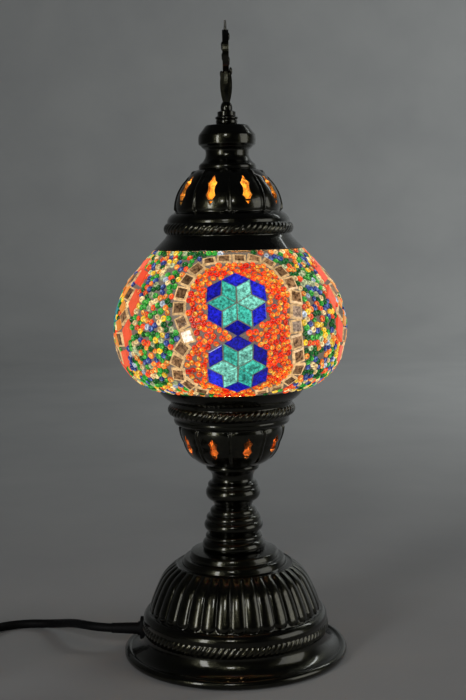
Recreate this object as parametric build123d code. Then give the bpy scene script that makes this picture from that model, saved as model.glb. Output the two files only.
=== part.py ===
"""Mosaic glass table lamp: cast base, turned stem, fluted cup, mosaic globe and lift-off cap.

Millimetres. +Z is up, the origin is on the table under the lamp's axis, and -Y is the front.
Outlines are lists of (radius, height). A step of four numbers is an arc: a point on the way and its end.
"""

import os
from math import atan2, cos, degrees, hypot, pi, radians, sin, tan

from build123d import *

# Driving dimensions
BASE_TOP = 77.5  # top of the base casting, where the stem stands
FOOT_TOP = 90.0
LOWER_KNOP_TOP = 110.0
STEM_TOP = 140.0  # underside of the cup
SEAT_Z = 186.8  # ledge in the cup that carries the globe's seat ring
GLASS_BOTTOM = 190.0
GLOBE_R = 83.0  # over the mosaic
GLASS_TOP = 298.6
CAP_BOTTOM = 295.4
CAP_TOP = 351.5
KNOB_TOP = 382.0
BALL_TOP = 398.0
STUD_TOP = 389.0
FINIAL_TOP = 454.5

GLASS_WALL = 2.6
GROUT = 0.8  # bed under and between the tiles
TILE = 1.5  # thickness of a tile
LOBES = 9  # flutes of the cup and of the cap
LOBE_TURN = 0.0  # azimuth of the front rib, from -Y

PIPE_R = 5.0  # M10 tube through base, stem and cup
PIPE_BORE = 3.5
PIPE_HOLE = 5.3
PIPE_BOTTOM = 60.0
PIPE_TOP = 157.0
STUD_R = 3.0  # M6 stud of the finial
STUD_HOLE = 3.3

HOLDER_R = 14.0  # lampholder
HOLDER_BOTTOM = 150.0
HOLDER_TOP = 199.0
BULB_TIP = 174.0
E14_SHELL_R = 6.9
E14_GAP = 0.3
BULB_R = 22.5
BULB_MIDDLE = 227.0

CORD_D = 6.5
CORD_AZIMUTH = 175.0  # direction of the cord's exit, from +X
CORD_Z = 15.6
GLAND_NOSE = 92.0  # radius of the gland's outer end
COIL_R = 37.0  # middle of the turns
SWITCH_AT = (-218.0, 5.9)
SWITCH_HEADING = 231.0
TO_COIL = 41.0  # from the switch's end to where the cord joins the outer turn
TO_PLUG = 52.0  # from where the cord leaves the outer turn to the plug's body
SWITCH_SIZE = (62.0, 27.0, 17.0)
SWITCH_CORD_Z = 7.0
PLUG_Z = 7.2
PIN_R = 2.0
PIN_SPACING = 18.6
PIN_LENGTH = 19.0

STANDING = (Align.CENTER, Align.CENTER, Align.MIN)

os.makedirs("parts", exist_ok=True)


def save(name, *solids):
    """Writes one node."""
    shape = solids[0] if len(solids) == 1 else Compound(children=list(solids))
    export_step(shape, f"parts/{name}.step")


def outline(*steps):
    """A closed face in the XZ plane from (radius, height) steps."""
    here = steps[0]
    edges = []
    for step in steps[1:] + (steps[0],):
        start, end = (here[-2], 0, here[-1]), (step[-2], 0, step[-1])
        if start == end:
            continue
        if len(step) == 4:
            edges.append(ThreePointArc(start, (step[0], 0, step[1]), end))
        else:
            edges.append(Line(start, end))
        here = step
    return make_face(edges)


def turned(*steps):
    """A solid of revolution about the lamp's axis."""
    return revolve(outline(*steps), Axis.Z)


def ring(inner, outer, bottom, top):
    return turned((inner, bottom), (outer, bottom), (outer, top), (inner, top))


def disc(radius, bottom, top):
    return Pos(0, 0, bottom) * peg(radius, top - bottom)


def peg(radius, height):
    """A cylinder that stands on the plane z = 0."""
    return Cylinder(radius, height, align=STANDING)


def hex_nut(across_flats, hole, bottom, top):
    body = extrude(RegularPolygon(across_flats / 2, 6, major_radius=False), top - bottom)
    return Pos(0, 0, bottom) * body - disc(hole, bottom, top)


def azimuth(angle):
    """Turns a thing that faces -Y to an azimuth, positive towards +X."""
    return Rot(0, 0, angle)


# ---------------------------------------------------------------- base


def base_shell():
    casting = turned(
        (PIPE_HOLE, BASE_TOP),
        (PIPE_HOLE, 73.8),
        (28.8, 73.8),
        (28.8, 69.0),
        (36.0, 66.6),
        (52.6, 58.4, 58.2, 38.0),
        (60.2, 33.4),
        (64.6, 30.6, 65.0, 25.6),
        (64.4, 17.0),
        (67.0, 8.6, 74.4, 3.6),
        (74.4, 0.3),
        (78.0, 0.3),
        (81.5, 3.4, 77.6, 6.7),
        (76.4, 5.6),
        (69.8, 9.4, 66.6, 17.4),
        (68.0, 21.4, 67.2, 25.2),
        (66.6, 29.4, 62.9, 33.3),
        (58.3, 46.9, 53.9, 56.0),
        (49.2, 62.0, 42.5, 67.0),
        (37.0, 67.6),
        (36.6, 71.4),
        (31.8, 72.2),
        (31.6, 76.6),
        (24.5, BASE_TOP),
    )
    hole = Plane(origin=gland_point(60), z_dir=gland_direction()) * Cylinder(5.4, 60)
    return casting - hole


def base_parts():
    save("base_shell", base_shell())
    save("bottom_cover", disc(73.6, 1.8, 3.4) - disc(4.0, 1.8, 3.4))
    save("felt_pad", disc(73.0, 0.0, 1.7))


# ---------------------------------------------------------------- stem


def hollow_stem(bottom, top, cavity, plate, *sides):
    """A turned casting with an end plate at each end, drilled for the tube."""
    body = turned((0, bottom), *sides, (0, top))
    return body - disc(PIPE_HOLE, bottom, top) - disc(cavity, bottom + plate, top - plate)


def stem_parts():
    foot = hollow_stem(
        BASE_TOP,
        FOOT_TOP,
        14.0,
        3.0,
        (22.0, BASE_TOP),
        (22.9, 80.2, 20.7, 83.8),
        (19.9, 84.2),
        (20.6, 86.6, 18.6, 88.9),
        (17.9, FOOT_TOP),
    )
    lower = hollow_stem(
        FOOT_TOP,
        LOWER_KNOP_TOP,
        10.5,
        3.0,
        (17.9, FOOT_TOP),
        (18.9, 91.2),
        (21.4, 94.8, 19.8, 98.0),
        (19.3, 98.3),
        (19.7, 101.0, 17.2, 103.5),
        (16.8, 103.8),
        (16.9, 106.0, 14.6, 108.4),
        (13.6, LOWER_KNOP_TOP),
    )
    upper = hollow_stem(
        LOWER_KNOP_TOP,
        STEM_TOP,
        10.0,
        3.0,
        (13.6, LOWER_KNOP_TOP),
        (15.4, 113.4),
        (19.8, 118.6, 18.6, 123.0),
        (17.8, 123.5),
        (18.2, 125.6, 16.0, 127.6),
        (15.3, 128.4),
        (15.0, 131.4, 17.9, 136.2),
        (19.0, 137.2),
        (19.3, 138.6, 19.0, STEM_TOP),
    )
    save("stem_foot", foot)
    save("stem_lower_knop", lower)
    save("stem_upper_knop", upper)
    save("threaded_tube", ring(PIPE_BORE, PIPE_R, PIPE_BOTTOM, PIPE_TOP))
    save("tube_washer_lower", ring(PIPE_HOLE, 11.0, 72.0, 73.8))
    save("tube_nut_lower", hex_nut(14, PIPE_R + 0.02, 66.6, 72.0))
    save("tube_washer_upper", ring(PIPE_HOLE, 10.0, 143.2, 144.6))
    save("tube_nut_upper", hex_nut(14, PIPE_R + 0.02, 144.6, 149.6))


# ---------------------------------------------------------------- cup and cap


def pierced_slot(low, high):
    """An upright slot with a waist and pointed ends, cut through the front wall."""
    middle = (low + high) / 2
    half = (high - low) / 2
    face = Polyline(
        (0, low),
        (3.4, middle - half * 0.4),
        (2.3, middle),
        (3.4, middle + half * 0.45),
        (0, high),
        (-3.4, middle + half * 0.45),
        (-2.3, middle),
        (-3.4, middle - half * 0.4),
        close=True,
    )
    front = Plane(origin=(0, -12, 0), x_dir=(1, 0, 0), z_dir=(0, -1, 0))
    return front * extrude(make_face(face), 40)


def pierced(shell, low, high):
    """The shell with one slot in the middle of each lobe."""
    slot = pierced_slot(low, high)
    turns = [LOBE_TURN + (k + 0.5) * 360 / LOBES for k in range(LOBES)]
    return shell - [azimuth(turn) * slot for turn in turns]


def lower_cup():
    shell = turned(
        (PIPE_HOLE, STEM_TOP),
        (19.0, STEM_TOP),
        (30.4, 147.2, 35.0, 156.8),
        (37.6, 163.4, 38.3, 169.8),
        (41.0, 171.2),
        (41.8, 174.6),
        (43.4, 177.0),
        (46.0, 180.6, 43.9, 184.2),
        (44.3, 187.2),
        (48.4, 190.0, 53.2, 196.0),
        (51.8, 196.0),
        (48.6, 191.4, 44.6, SEAT_Z),
        (40.4, SEAT_Z),
        (40.4, 174.6),
        (36.4, 170.4),
        (35.8, 163.6, 33.2, 157.4),
        (28.8, 148.8, 20.0, 143.2),
        (PIPE_HOLE, 143.2),
    )
    return pierced(shell, 149.5, 168.0)


def cap_shell():
    shell = turned(
        (51.6, CAP_BOTTOM),
        (53.2, CAP_BOTTOM),
        (49.2, 299.4, 45.2, 303.6),
        (44.2, 306.0),
        (46.0, 310.0, 44.0, 313.8),
        (42.8, 316.4),
        (41.4, 318.8, 38.4, 321.0),
        (36.6, 333.0, 29.7, 343.7),
        (25.6, 348.4, 20.3, CAP_TOP),
        (STUD_HOLE, CAP_TOP),
        (STUD_HOLE, 349.4),
        (19.4, 349.4),
        (24.2, 346.6, 28.2, 342.6),
        (34.8, 332.4, 36.6, 321.0),
        (41.6, 316.0),
        (42.2, 305.4),
        (43.4, 303.2),
        (47.4, 299.2, 51.6, CAP_BOTTOM),
    )
    return pierced(shell, 326.4, 346.4)


def cap_parts():
    knob = turned(
        (STUD_HOLE, CAP_TOP),
        (20.2, CAP_TOP),
        (20.4, 353.4, 19.4, 355.2),
        (18.5, 355.9),
        (15.7, 360.0, 15.6, 364.8),
        (17.8, 366.4),
        (18.4, 367.4),
        (20.1, 368.6),
        (20.4, 372.0, 20.0, 375.3),
        (15.4, 381.4),
        (14.6, KNOB_TOP),
        (STUD_HOLE, KNOB_TOP),
        (STUD_HOLE, 378.8),
        (10.5, 378.8),
        (10.5, 354.6),
        (STUD_HOLE, 354.6),
    )
    ball = turned(
        (0, KNOB_TOP),
        (6.9, KNOB_TOP),
        (7.7, 384.0, 7.3, 386.0),
        (8.1, 387.0, 7.3, 388.0),
        (6.5, 388.6),
        (6.5, 391.2),
        (4.1, 392.4),
        (4.0, 395.8, 2.9, BALL_TOP),
        (0, BALL_TOP),
    )
    save("cap_shell", cap_shell())
    save("cap_knob", knob)
    save("finial_ball", ball - disc(STUD_R + 0.03, KNOB_TOP, STUD_TOP))
    save("finial_ornament", finial_ornament())
    save("finial_stud", disc(STUD_R, 341.0, STUD_TOP))
    save("stud_washer", ring(STUD_HOLE, 8.0, 348.0, 349.4))
    save("stud_nut", hex_nut(10, STUD_R + 0.02, 343.0, 348.0))
    save("cap_seat_ring", ring(41.4, 45.2, GLASS_TOP + 0.3, 301.0))


def finial_ornament():
    """A flat openwork almond on a leafed stalk, edge on from the front: its flat side faces +X."""
    side = Plane(origin=(0, 0, 0), x_dir=(0, 1, 0), z_dir=(1, 0, 0))
    almond = side * extrude(almond_face(417.6, 448.0, 10.5) - almond_face(423.0, 443.5, 6.4), 2.2, both=True)
    heart = side * extrude(almond_face(419.4, 439.6, 2.6), 1.4, both=True)
    spike = Pos(0, 0, 438.0) * Cone(1.8, 0.65, FINIAL_TOP - 438.0, align=STANDING)
    stalk = Pos(0, 0, BALL_TOP) * peg(1.55, 23.3)
    leaves = []
    for turn in (0, 90, 180, 270):
        blade = outline(
            (-0.5, BALL_TOP),
            (2.4, BALL_TOP),
            (4.2, 408.0, 3.3, 419.0),
            (-0.5, 420.4),
        )
        leaves.append(Rot(0, 0, turn) * extrude(blade, 1.2, both=True))
    return stalk + leaves + spike + almond + heart


def almond_face(low, high, half_width):
    """A pointed oval, upright, in the plane's (across, up)."""
    middle = (low + high) / 2
    sides = [ThreePointArc((0, low), (across, middle), (0, high)) for across in (half_width, -half_width)]
    return make_face(sides)


# ---------------------------------------------------------------- globe and mosaic


def globe_body(inset):
    """The globe's outer form, solid to the axis, set back from the mosaic's surface."""
    return turned(
        (0, 197.0),
        (56.0 - inset, 197.0),
        (73.6 - inset, 209.0, 81.1 - inset, 226.0),
        (GLOBE_R - inset, 237.0, 81.2 - inset, 251.5),
        (75.8 - inset, 266.8, 66.7 - inset, 280.0),
        (59.6 - inset, 287.6, 53.0 - inset, 294.8),
        (0, 294.8),
    )


def glass_globe():
    skin = GROUT + TILE
    back = skin + GLASS_WALL
    return turned(
        (41.6, GLASS_BOTTOM),
        (44.2, GLASS_BOTTOM),
        (45.6, 193.4),
        (56.0 - skin, 197.0),
        (73.6 - skin, 209.0, 81.1 - skin, 226.0),
        (GLOBE_R - skin, 237.0, 81.2 - skin, 251.5),
        (75.8 - skin, 266.8, 66.7 - skin, 280.0),
        (59.6 - skin, 287.6, 53.0 - skin, 294.8),
        (45.4, 297.0),
        (44.6, GLASS_TOP),
        (42.0, GLASS_TOP),
        (42.6, 296.0),
        (54.6 - back, 291.6),
        (66.0 - back, 278.6),
        (75.2 - back, 266.0, 80.6 - back, 251.5),
        (GLOBE_R - back, 237.0, 80.6 - back, 226.0),
        (73.2 - back, 210.6, 56.4 - back, 200.0),
        (43.4, 195.6),
    )


def tile_prism(turn, height, points):
    """A prism through the mosaic. Points are (across, up) on the surface around its middle, at the front."""
    below, above = globe_radius(height - 1), globe_radius(height + 1)
    slope = degrees(atan2(above - below, 2.0))
    place = Pos(0, -globe_radius(height), height) * Rot(90 + slope, 0, 0)
    outline_of_tile = make_face(Polyline(*points, close=True))
    return azimuth(turn) * (place * extrude(outline_of_tile, 7, both=True))


def globe_radius(z):
    """Radius of the mosaic at a height, from the three arcs of the globe's form."""
    for low, mid, high in (
        ((56.0, 197.0), (73.6, 209.0), (81.1, 226.0)),
        ((81.1, 226.0), (GLOBE_R, 237.0), (81.2, 251.5)),
        ((81.2, 251.5), (75.8, 266.8), (66.7, 280.0)),
        ((66.7, 280.0), (59.6, 287.6), (53.0, 294.8)),
    ):
        if z <= high[1]:
            break
    a, b = (z - mid[1]) * (z - high[1]), (z - low[1]) * (z - high[1])
    c = (z - low[1]) * (z - mid[1])
    return (
        low[0] * a / ((low[1] - mid[1]) * (low[1] - high[1]))
        + mid[0] * b / ((mid[1] - low[1]) * (mid[1] - high[1]))
        + high[0] * c / ((high[1] - low[1]) * (high[1] - mid[1]))
    )


def tiles(skin, prisms):
    """One solid for each prism, cut to the mosaic's thickness."""
    pieces = []
    for prism in prisms:
        pieces.extend((skin & prism).solids())
    return pieces


PANEL = 3.5  # azimuth of the front panel's middle line
ROSETTE_HEIGHTS = (262.4, 219.4)
ROSETTE_SIDE = 11.4  # a rhombus's side
JOINT = 0.9  # grout line between tiles
STAR_HEIGHT = 251.0
MOSAIC_LOW, MOSAIC_HIGH = 200.5, 293.0

# The border of a rosette panel, as azimuth from its middle line and height, clockwise from the top.
BORDER = (
    (0, 290.3),
    (12, 290.3),
    (21, 288.2),
    (27.5, 283),
    (30.5, 275),
    (31.6, 266),
    (30.2, 257),
    (28.6, 248),
    (28.4, 238),
    (30, 228),
    (31.8, 219),
    (31.4, 211),
    (25, 203.4),
    (12, 200.2),
    (0, 200.0),
    (-12, 200.2),
    (-24, 204.0),
    (-30.2, 213),
    (-30, 222),
    (-27, 231),
    (-22.6, 238),
    (-24.6, 246),
    (-28.4, 255),
    (-28.6, 266),
    (-27.6, 275),
    (-24.4, 283),
    (-18, 288.6),
    (-10, 290.3),
)
BORDER_PITCH = 10.3
BORDER_TILE = 8.4


def globe_side():
    """Heights up the globe's side and the length along it from the mosaic's lowest edge to each."""
    heights = [197.5 + 0.5 * k for k in range(195)]
    along = [0.0]
    for low, high in zip(heights, heights[1:]):
        along.append(along[-1] + hypot(high - low, globe_radius(high) - globe_radius(low)))
    return heights, along


SIDE_HEIGHTS, SIDE_ALONG = globe_side()


def between(value, known, wanted):
    """Straight-line reading of one rising list against another."""
    for k in range(len(known) - 2):
        if value < known[k + 1]:
            break
    share = (value - known[k]) / (known[k + 1] - known[k])
    return wanted[k] + share * (wanted[k + 1] - wanted[k])


def walked(turn, height, across, up):
    """The azimuth and height reached by going across and up the globe."""
    height = between(between(height, SIDE_HEIGHTS, SIDE_ALONG) + up, SIDE_ALONG, SIDE_HEIGHTS)
    return turn + degrees(across / globe_radius(height)), height


def rhombus(tip_angle, blue):
    """Middle and corners of one rhombus: turquoise ones meet at the rosette's middle, cobalt ones lie between."""
    side = ROSETTE_SIDE

    def ray(angle, reach):
        return (reach * cos(radians(tip_angle + angle)), reach * sin(radians(tip_angle + angle)))

    if blue:
        reach = 2 * side * cos(radians(30))
        corners = [ray(0, side), ray(-30, reach), ray(0, 2 * side), ray(30, reach)]
    else:
        corners = [(0, 0), ray(-30, side), ray(0, 2 * side * cos(radians(30))), ray(30, side)]
    middle = (sum(x for x, _ in corners) / 4, sum(y for _, y in corners) / 4)
    shrink = 1 - JOINT / (side * sin(radians(60)))
    return middle, [((x - middle[0]) * shrink, (y - middle[1]) * shrink) for x, y in corners]


def diamond(length, width, angle):
    c, s = cos(angle), sin(angle)
    corners = ((-length / 2, 0), (0, -width / 2), (length / 2, 0), (0, width / 2))
    return [(x * c - y * s, x * s + y * c) for x, y in corners]


def border_prisms(panel):
    """Square tiles side by side along the border, low ones close under the cap and over the cup."""
    loop = BORDER + BORDER[:1]
    reach = [0.0]
    for (turn, height), (next_turn, next_height) in zip(loop, loop[1:]):
        across = radians(next_turn - turn) * globe_radius((height + next_height) / 2)
        up = between(next_height, SIDE_HEIGHTS, SIDE_ALONG) - between(height, SIDE_HEIGHTS, SIDE_ALONG)
        reach.append(reach[-1] + hypot(across, up))
    turns, heights = [p[0] for p in loop], [p[1] for p in loop]
    count = round(reach[-1] / BORDER_PITCH)
    prisms = []
    for k in range(count):
        here = reach[-1] * (k + 0.35) / count
        ahead = (here + 3) % reach[-1]
        turn, height = between(here, reach, turns), between(here, reach, heights)
        across = radians(between(ahead, reach, turns) - turn) * globe_radius(height)
        up = between(ahead, reach, heights) - height
        lean = atan2(up, across)
        deep = 3.0 if height > 286 or height < 206 else BORDER_TILE / 2
        corners = []
        for x, y in ((-1, -1), (1, -1), (1, 1), (-1, 1)):
            x, y = x * BORDER_TILE / 2, y * deep
            corners.append((x * cos(lean) - y * sin(lean), x * sin(lean) + y * cos(lean)))
        prisms.append(tile_prism(panel + turn, height, corners))
    return prisms


def star_prisms(panel):
    """The side panel's twelve-pointed star: red, clear, amber and teal diamonds, from the outside in."""
    red, clear, amber, teal = [], [], [], []
    for k in range(12):
        spoke = radians(30 * k)
        gap = spoke + radians(15)
        for batch, reach, angle, lean, length, width in (
            (red, 42.0, gap, gap + pi / 2, 20.0, 13.5),
            (clear, 32.5, spoke, spoke, 16.4, 12.0),
            (amber, 25.0, gap, gap, 12.6, 8.8),
            (teal, 10.2, gap, gap, 15.6, 4.6),
        ):
            turn, height = walked(panel, STAR_HEIGHT, reach * cos(angle), reach * sin(angle))
            if 203 < height < 289.5:
                batch.append(tile_prism(turn, height, diamond(length, width, lean)))
    return red, clear, amber, teal


def mosaic_parts():
    skin = globe_body(0) - globe_body(TILE)
    grout = globe_body(TILE) - globe_body(TILE + GROUT)
    trim = disc(100, 0, MOSAIC_LOW) + disc(100, MOSAIC_HIGH, 400)
    skin = skin - trim
    save("mosaic_grout", grout - trim)
    turquoise, cobalt, border = [], [], []
    for panel in (PANEL, PANEL + 180):
        for height in ROSETTE_HEIGHTS:
            for k in range(6):
                for batch, angle, blue in ((turquoise, 60 * k, False), (cobalt, 60 * k + 30, True)):
                    (across, up), corners = rhombus(angle, blue)
                    batch.append(tile_prism(*walked(panel, height, across, up), corners))
        border += border_prisms(panel)
    red, clear, amber, teal = [], [], [], []
    for panel in (PANEL + 90, PANEL - 90):
        for batch, more in zip((red, clear, amber, teal), star_prisms(panel)):
            batch += more
    save("rosette_turquoise_tiles", *tiles(skin, turquoise))
    save("rosette_cobalt_tiles", *tiles(skin, cobalt))
    save("clear_border_tiles", *tiles(skin, border))
    save("clear_star_tiles", *tiles(skin, clear))
    save("red_diamond_tiles", *tiles(skin, red))
    save("amber_diamond_tiles", *tiles(skin, amber))
    save("teal_heart_tiles", *tiles(skin, teal))


def globe_parts():
    save("glass_globe", glass_globe())
    save("globe_seat_ring", ring(40.8, 44.0, SEAT_Z, GLASS_BOTTOM - 0.1))
    mosaic_parts()


# ---------------------------------------------------------------- lampholder and bulb


def lampholder_parts():
    skirt = turned(
        (PIPE_R + 0.05, HOLDER_BOTTOM),
        (8.6, HOLDER_BOTTOM),
        (12.6, 153.0, HOLDER_R, 158.0),
        (HOLDER_R, 163.0),
        (12.4, 163.0),
        (12.4, 158.6),
        (11.0, 155.6, 8.6, 154.2),
        (PIPE_R + 0.05, 154.2),
    )
    body = turned(
        (12.4, 163.0),
        (HOLDER_R, 163.0),
        (HOLDER_R, HOLDER_TOP),
        (11.6, HOLDER_TOP),
        (11.6, 196.6),
        (12.4, 196.6),
    )
    insert = disc(12.2, 164.0, 171.6) - disc(1.5, 164.0, 171.6)
    screws = [Pos(x, 7.0, 171.6) * peg(1.8, 1.4) for x in (-6.4, 6.4)]
    shell = ring(E14_SHELL_R + E14_GAP, E14_SHELL_R + E14_GAP + 0.5, 173.4, 195.6)
    spring = Pos(0, 0, 171.6) * Box(5, 9, 0.6, align=STANDING)
    spring = spring + Pos(0, 0, 172.2) * peg(2.2, 1.6)
    save("lampholder_skirt", skirt)
    save("lampholder_body", body)
    save("lampholder_insert", insert)
    save("lampholder_screws", *screws)
    save("lampholder_thread", shell)
    save("lampholder_contact", spring)


def bulb_parts():
    contact = disc(2.4, BULB_TIP, BULB_TIP + 1.4)
    insulator = turned((0, 175.4), (3.2, 175.4), (6.4, 178.3), (0, 178.3))
    shell = turned(
        (5.9, 178.5),
        (E14_SHELL_R, 178.5),
        (E14_SHELL_R, 195.8),
        (5.9, 195.8),
    )
    neck_z = 195.8
    low = (8.6, 203.0)
    wall = 0.8
    glass = turned(
        (5.8, neck_z),
        (E14_SHELL_R - 0.2, neck_z),
        low,
        (BULB_R * cos(radians(-32)), BULB_MIDDLE + BULB_R * sin(radians(-32))),
        (BULB_R, BULB_MIDDLE, BULB_R * cos(radians(35)), BULB_MIDDLE + BULB_R * sin(radians(35))),
        (BULB_R * cos(radians(65)), BULB_MIDDLE + BULB_R * sin(radians(65)), 0, BULB_MIDDLE + BULB_R),
        (0, BULB_MIDDLE + BULB_R - wall),
        (
            (BULB_R - wall) * cos(radians(50)),
            BULB_MIDDLE + (BULB_R - wall) * sin(radians(50)),
            BULB_R - wall,
            BULB_MIDDLE,
        ),
        (
            (BULB_R - wall) * cos(radians(-16)),
            BULB_MIDDLE + (BULB_R - wall) * sin(radians(-16)),
            (BULB_R - wall) * cos(radians(-32)),
            BULB_MIDDLE + (BULB_R - wall) * sin(radians(-32)),
        ),
        (low[0] - wall, low[1] + 0.3),
    )
    stem = turned((0, 184.0), (4.6, 184.0), (4.6, 190.0), (1.6, 200.0), (1.6, 213.2), (0, 213.2))
    hoop = Pos(0, 0, 221.0) * Rot(90, 0, 0) * Torus(7.0, 0.6)
    save("bulb_contact", contact)
    save("bulb_insulator", insulator)
    save("bulb_screw_shell", shell)
    save("bulb_glass", glass)
    save("bulb_filament", stem, hoop)


# ---------------------------------------------------------------- cord and what is on it


def gland_direction():
    return Vector(cos(radians(CORD_AZIMUTH)), sin(radians(CORD_AZIMUTH)), 0)


def gland_point(radius, z=CORD_Z):
    """A point on the axis of the cord's exit."""
    return Vector(0, 0, z) + gland_direction() * radius


def route_solid(points, diameter):
    """A tube along straight runs, each corner rounded as far as its two runs allow."""
    points = [Vector(*p) for p in points]
    turns = []
    for before, corner, after in zip(points, points[1:], points[2:]):
        run_in, run_out = corner - before, after - corner
        half_turn = radians(run_in.get_angle(run_out)) / 2
        turns.append(0.45 * min(run_in.length, run_out.length) / tan(half_turn))
    line = FilletPolyline(*points, radius=turns)
    start = Plane(origin=line @ 0, z_dir=line % 0)
    tube = sweep(start * Circle(diameter / 2), path=line)
    section = pi * diameter**2 / 4
    print("tube radii", [round(r, 1) for r in turns], "length", round(line.length, 1))
    print("tube volume against section times length", round(tube.volume / section / line.length, 4))
    return tube


def heading(angle):
    return Vector(cos(radians(angle)), sin(radians(angle)), 0)


def on_switch(along, z=SWITCH_CORD_Z):
    """A point on the switch's long axis, from its middle."""
    return Vector(SWITCH_AT[0], SWITCH_AT[1], z) + heading(SWITCH_HEADING) * along


LEAD_ROUTE = [
    (-102.5, 10.0, 15.7),
    (-113.0, 17.0, 15.3),
    (-124.5, 31.5, 12.0),
    (-136.0, 45.5, 7.0),
    (-148.0, 54.5, 4.0),
    (-162.0, 57.5, 3.3),
    (-175.5, 54.5, 3.3),
    (-187.5, 45.0, 4.2),
]


def cord_parts():
    nose = gland_point(GLAND_NOSE)
    switch_in = on_switch(-SWITCH_SIZE[0] / 2)
    switch_out = on_switch(SWITCH_SIZE[0] / 2)
    lead = [tuple(nose)] + LEAD_ROUTE + [tuple(switch_in)]
    joins_coil = SWITCH_SIZE[0] / 2 + TO_COIL
    link = [switch_out, on_switch(joins_coil - 31.0, 4.7), on_switch(joins_coil - 22.0, 3.4)]
    tail = [on_switch(joins_coil + along, z) for along, z in ((25.0, 9.2), (30.0, 8.1), (36.0, PLUG_Z))]
    save("cord_lead", route_solid(lead, CORD_D))
    save("cord_link", route_solid(link, CORD_D))
    save("cord_tail", route_solid(tail, CORD_D))
    width = 3 * CORD_D / 2 + 0.6
    coil = turned(
        (COIL_R - width, 1.2),
        (COIL_R - width + 1.2, 0.0),
        (COIL_R + width - 1.2, 0.0),
        (COIL_R + width, 1.2),
        (COIL_R + width, 12.4),
        (COIL_R + width - 1.2, 13.6),
        (COIL_R - width + 1.2, 13.6),
        (COIL_R - width, 12.4),
    )
    middle = on_switch(joins_coil, 0) + heading(SWITCH_HEADING + 90) * (COIL_R + CORD_D)
    save("cord_coil", Pos(middle) * coil)


def gland():
    """A rubber bush: an oval flange on the casting, a tapered sleeve round the cord and a collar inside."""
    sleeve = Pos(0, 0, -4) * Cone(4.5, 3.7, GLAND_NOSE - 68, align=STANDING)
    flange = Pos(0, 0, -6.4) * extrude(Ellipse(6.6, 9.2), 4.6)
    inside = Pos(0, 0, -12) * peg(5.2, 12.1)
    collar = Pos(0, 0, -12) * peg(7.0, 2.4)
    body = flange + sleeve + inside + collar
    body = body - Pos(0, 0, -13) * peg(3.3, 60)
    place = Plane(origin=gland_point(72), x_dir=(0, 0, 1), z_dir=gland_direction())
    return place * Rot(0, 0, 90) * body - base_shell()


def conductor(side):
    """An insulated conductor from the gland to the lampholder, beside its twin."""
    across = heading(CORD_AZIMUTH + 90) * side
    points = [gland_point(80), gland_point(28), gland_point(0, 50), gland_point(0, 163.6)]
    line = FilletPolyline(*[p + across for p in points], radius=12)
    return sweep(Plane(origin=line @ 0, z_dir=line % 0) * Circle(1.1), path=line)


def inline_switch():
    """A two-part rocker switch on the cord."""
    length, width, height = SWITCH_SIZE
    split = 9.0
    outer = Pos(0, 0, 0) * Box(length, width, height, align=STANDING)
    outer = fillet(outer.edges().filter_by(Axis.Z), 9.0)
    outer = fillet(outer.edges().group_by(Axis.Z)[-1], 2.5)
    cavity = Pos(0, 0, 2.0) * Box(length - 8, width - 6, height - 4.4, align=STANDING)
    window = Pos(0, 0, height - 6) * Box(16.4, 12.4, 12, align=STANDING)
    holes = [Pos(x, 8.0, 0) * Cylinder(1.6, 30) for x in (-22, 22)]
    hollow = outer - cavity - window - holes
    low_half = Box(200, 200, split, align=STANDING)
    base = hollow & low_half
    cover = hollow - low_half
    cover = cover + [Pos(x, -8.0, split - 4) * peg(1.5, 10.0) for x in (-22, 22)]
    pivot_z = height - 4.6
    rocker = Pos(0, 0, pivot_z) * Rot(90, 0, 0) * Cylinder(7.6, 11.6)
    rocker = rocker & Pos(0, 0, pivot_z - 1.6) * Box(15.2, 11.6, 9, align=STANDING)
    rocker = rocker - Pos(0, 0, pivot_z + 18.6) * Rot(90, 0, 0) * Cylinder(14.0, 14.0)
    contacts = [Pos(x, 0, 2.0) * Box(9, 4, 3.4, align=STANDING) for x in (-10, 10)]
    screws = [Pos(x, 8.0, 0.6) * peg(1.5, height - 3.4) for x in (-22, 22)]
    return base, cover, rocker, contacts, screws


def place_on_switch():
    return Pos(SWITCH_AT[0], SWITCH_AT[1], 0) * Rot(0, 0, SWITCH_HEADING)


def plug():
    """A flat two-pin plug with its rear face at x = 0, its pins pointing to -X."""
    outline_top = Polyline(
        (0, -8.0),
        (-8.0, -12.6),
        (-30.0, -17.2),
        (-35.0, -13.0),
        (-35.0, 13.0),
        (-30.0, 17.2),
        (-8.0, 12.6),
        (0, 8.0),
        close=True,
    )
    body = extrude(make_face(outline_top), 13.4)
    body = fillet(body.edges().group_by(Axis.Z)[0] + body.edges().group_by(Axis.Z)[-1], 3.0)
    body = Pos(0, 0, PLUG_Z - 6.7) * body
    tail = Pos(0, 0, PLUG_Z) * Rot(0, 90, 0) * Cone(5.6, 3.7, 16.0, align=STANDING)
    pins = []
    for side in (-1, 1):
        pin = peg(PIN_R, PIN_LENGTH)
        pin = fillet(pin.edges().group_by(Axis.Z)[-1], 1.2)
        pins.append(Pos(-35.0, side * PIN_SPACING / 2, PLUG_Z) * Rot(0, -90, 0) * pin)
    return body + tail, pins


def cord_fittings():
    save("cord_gland", gland())
    save("conductor_live", conductor(1.35))
    save("conductor_neutral", conductor(-1.35))
    base, cover, rocker, contacts, screws = inline_switch()
    place = place_on_switch()
    save("switch_base", place * base)
    save("switch_cover", place * cover)
    save("switch_rocker", place * rocker)
    save("switch_contacts", *[place * c for c in contacts])
    save("switch_screws", *[place * s for s in screws])
    body, pins = plug()
    place = Pos(on_switch(SWITCH_SIZE[0] / 2 + TO_COIL + TO_PLUG, 0)) * Rot(0, 0, SWITCH_HEADING - 180)
    save("plug_body", place * body)
    save("plug_pins", *[place * p for p in pins])


base_parts()
stem_parts()
save("lower_cup", lower_cup())
cap_parts()
globe_parts()
lampholder_parts()
bulb_parts()
cord_parts()
cord_fittings()
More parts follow.
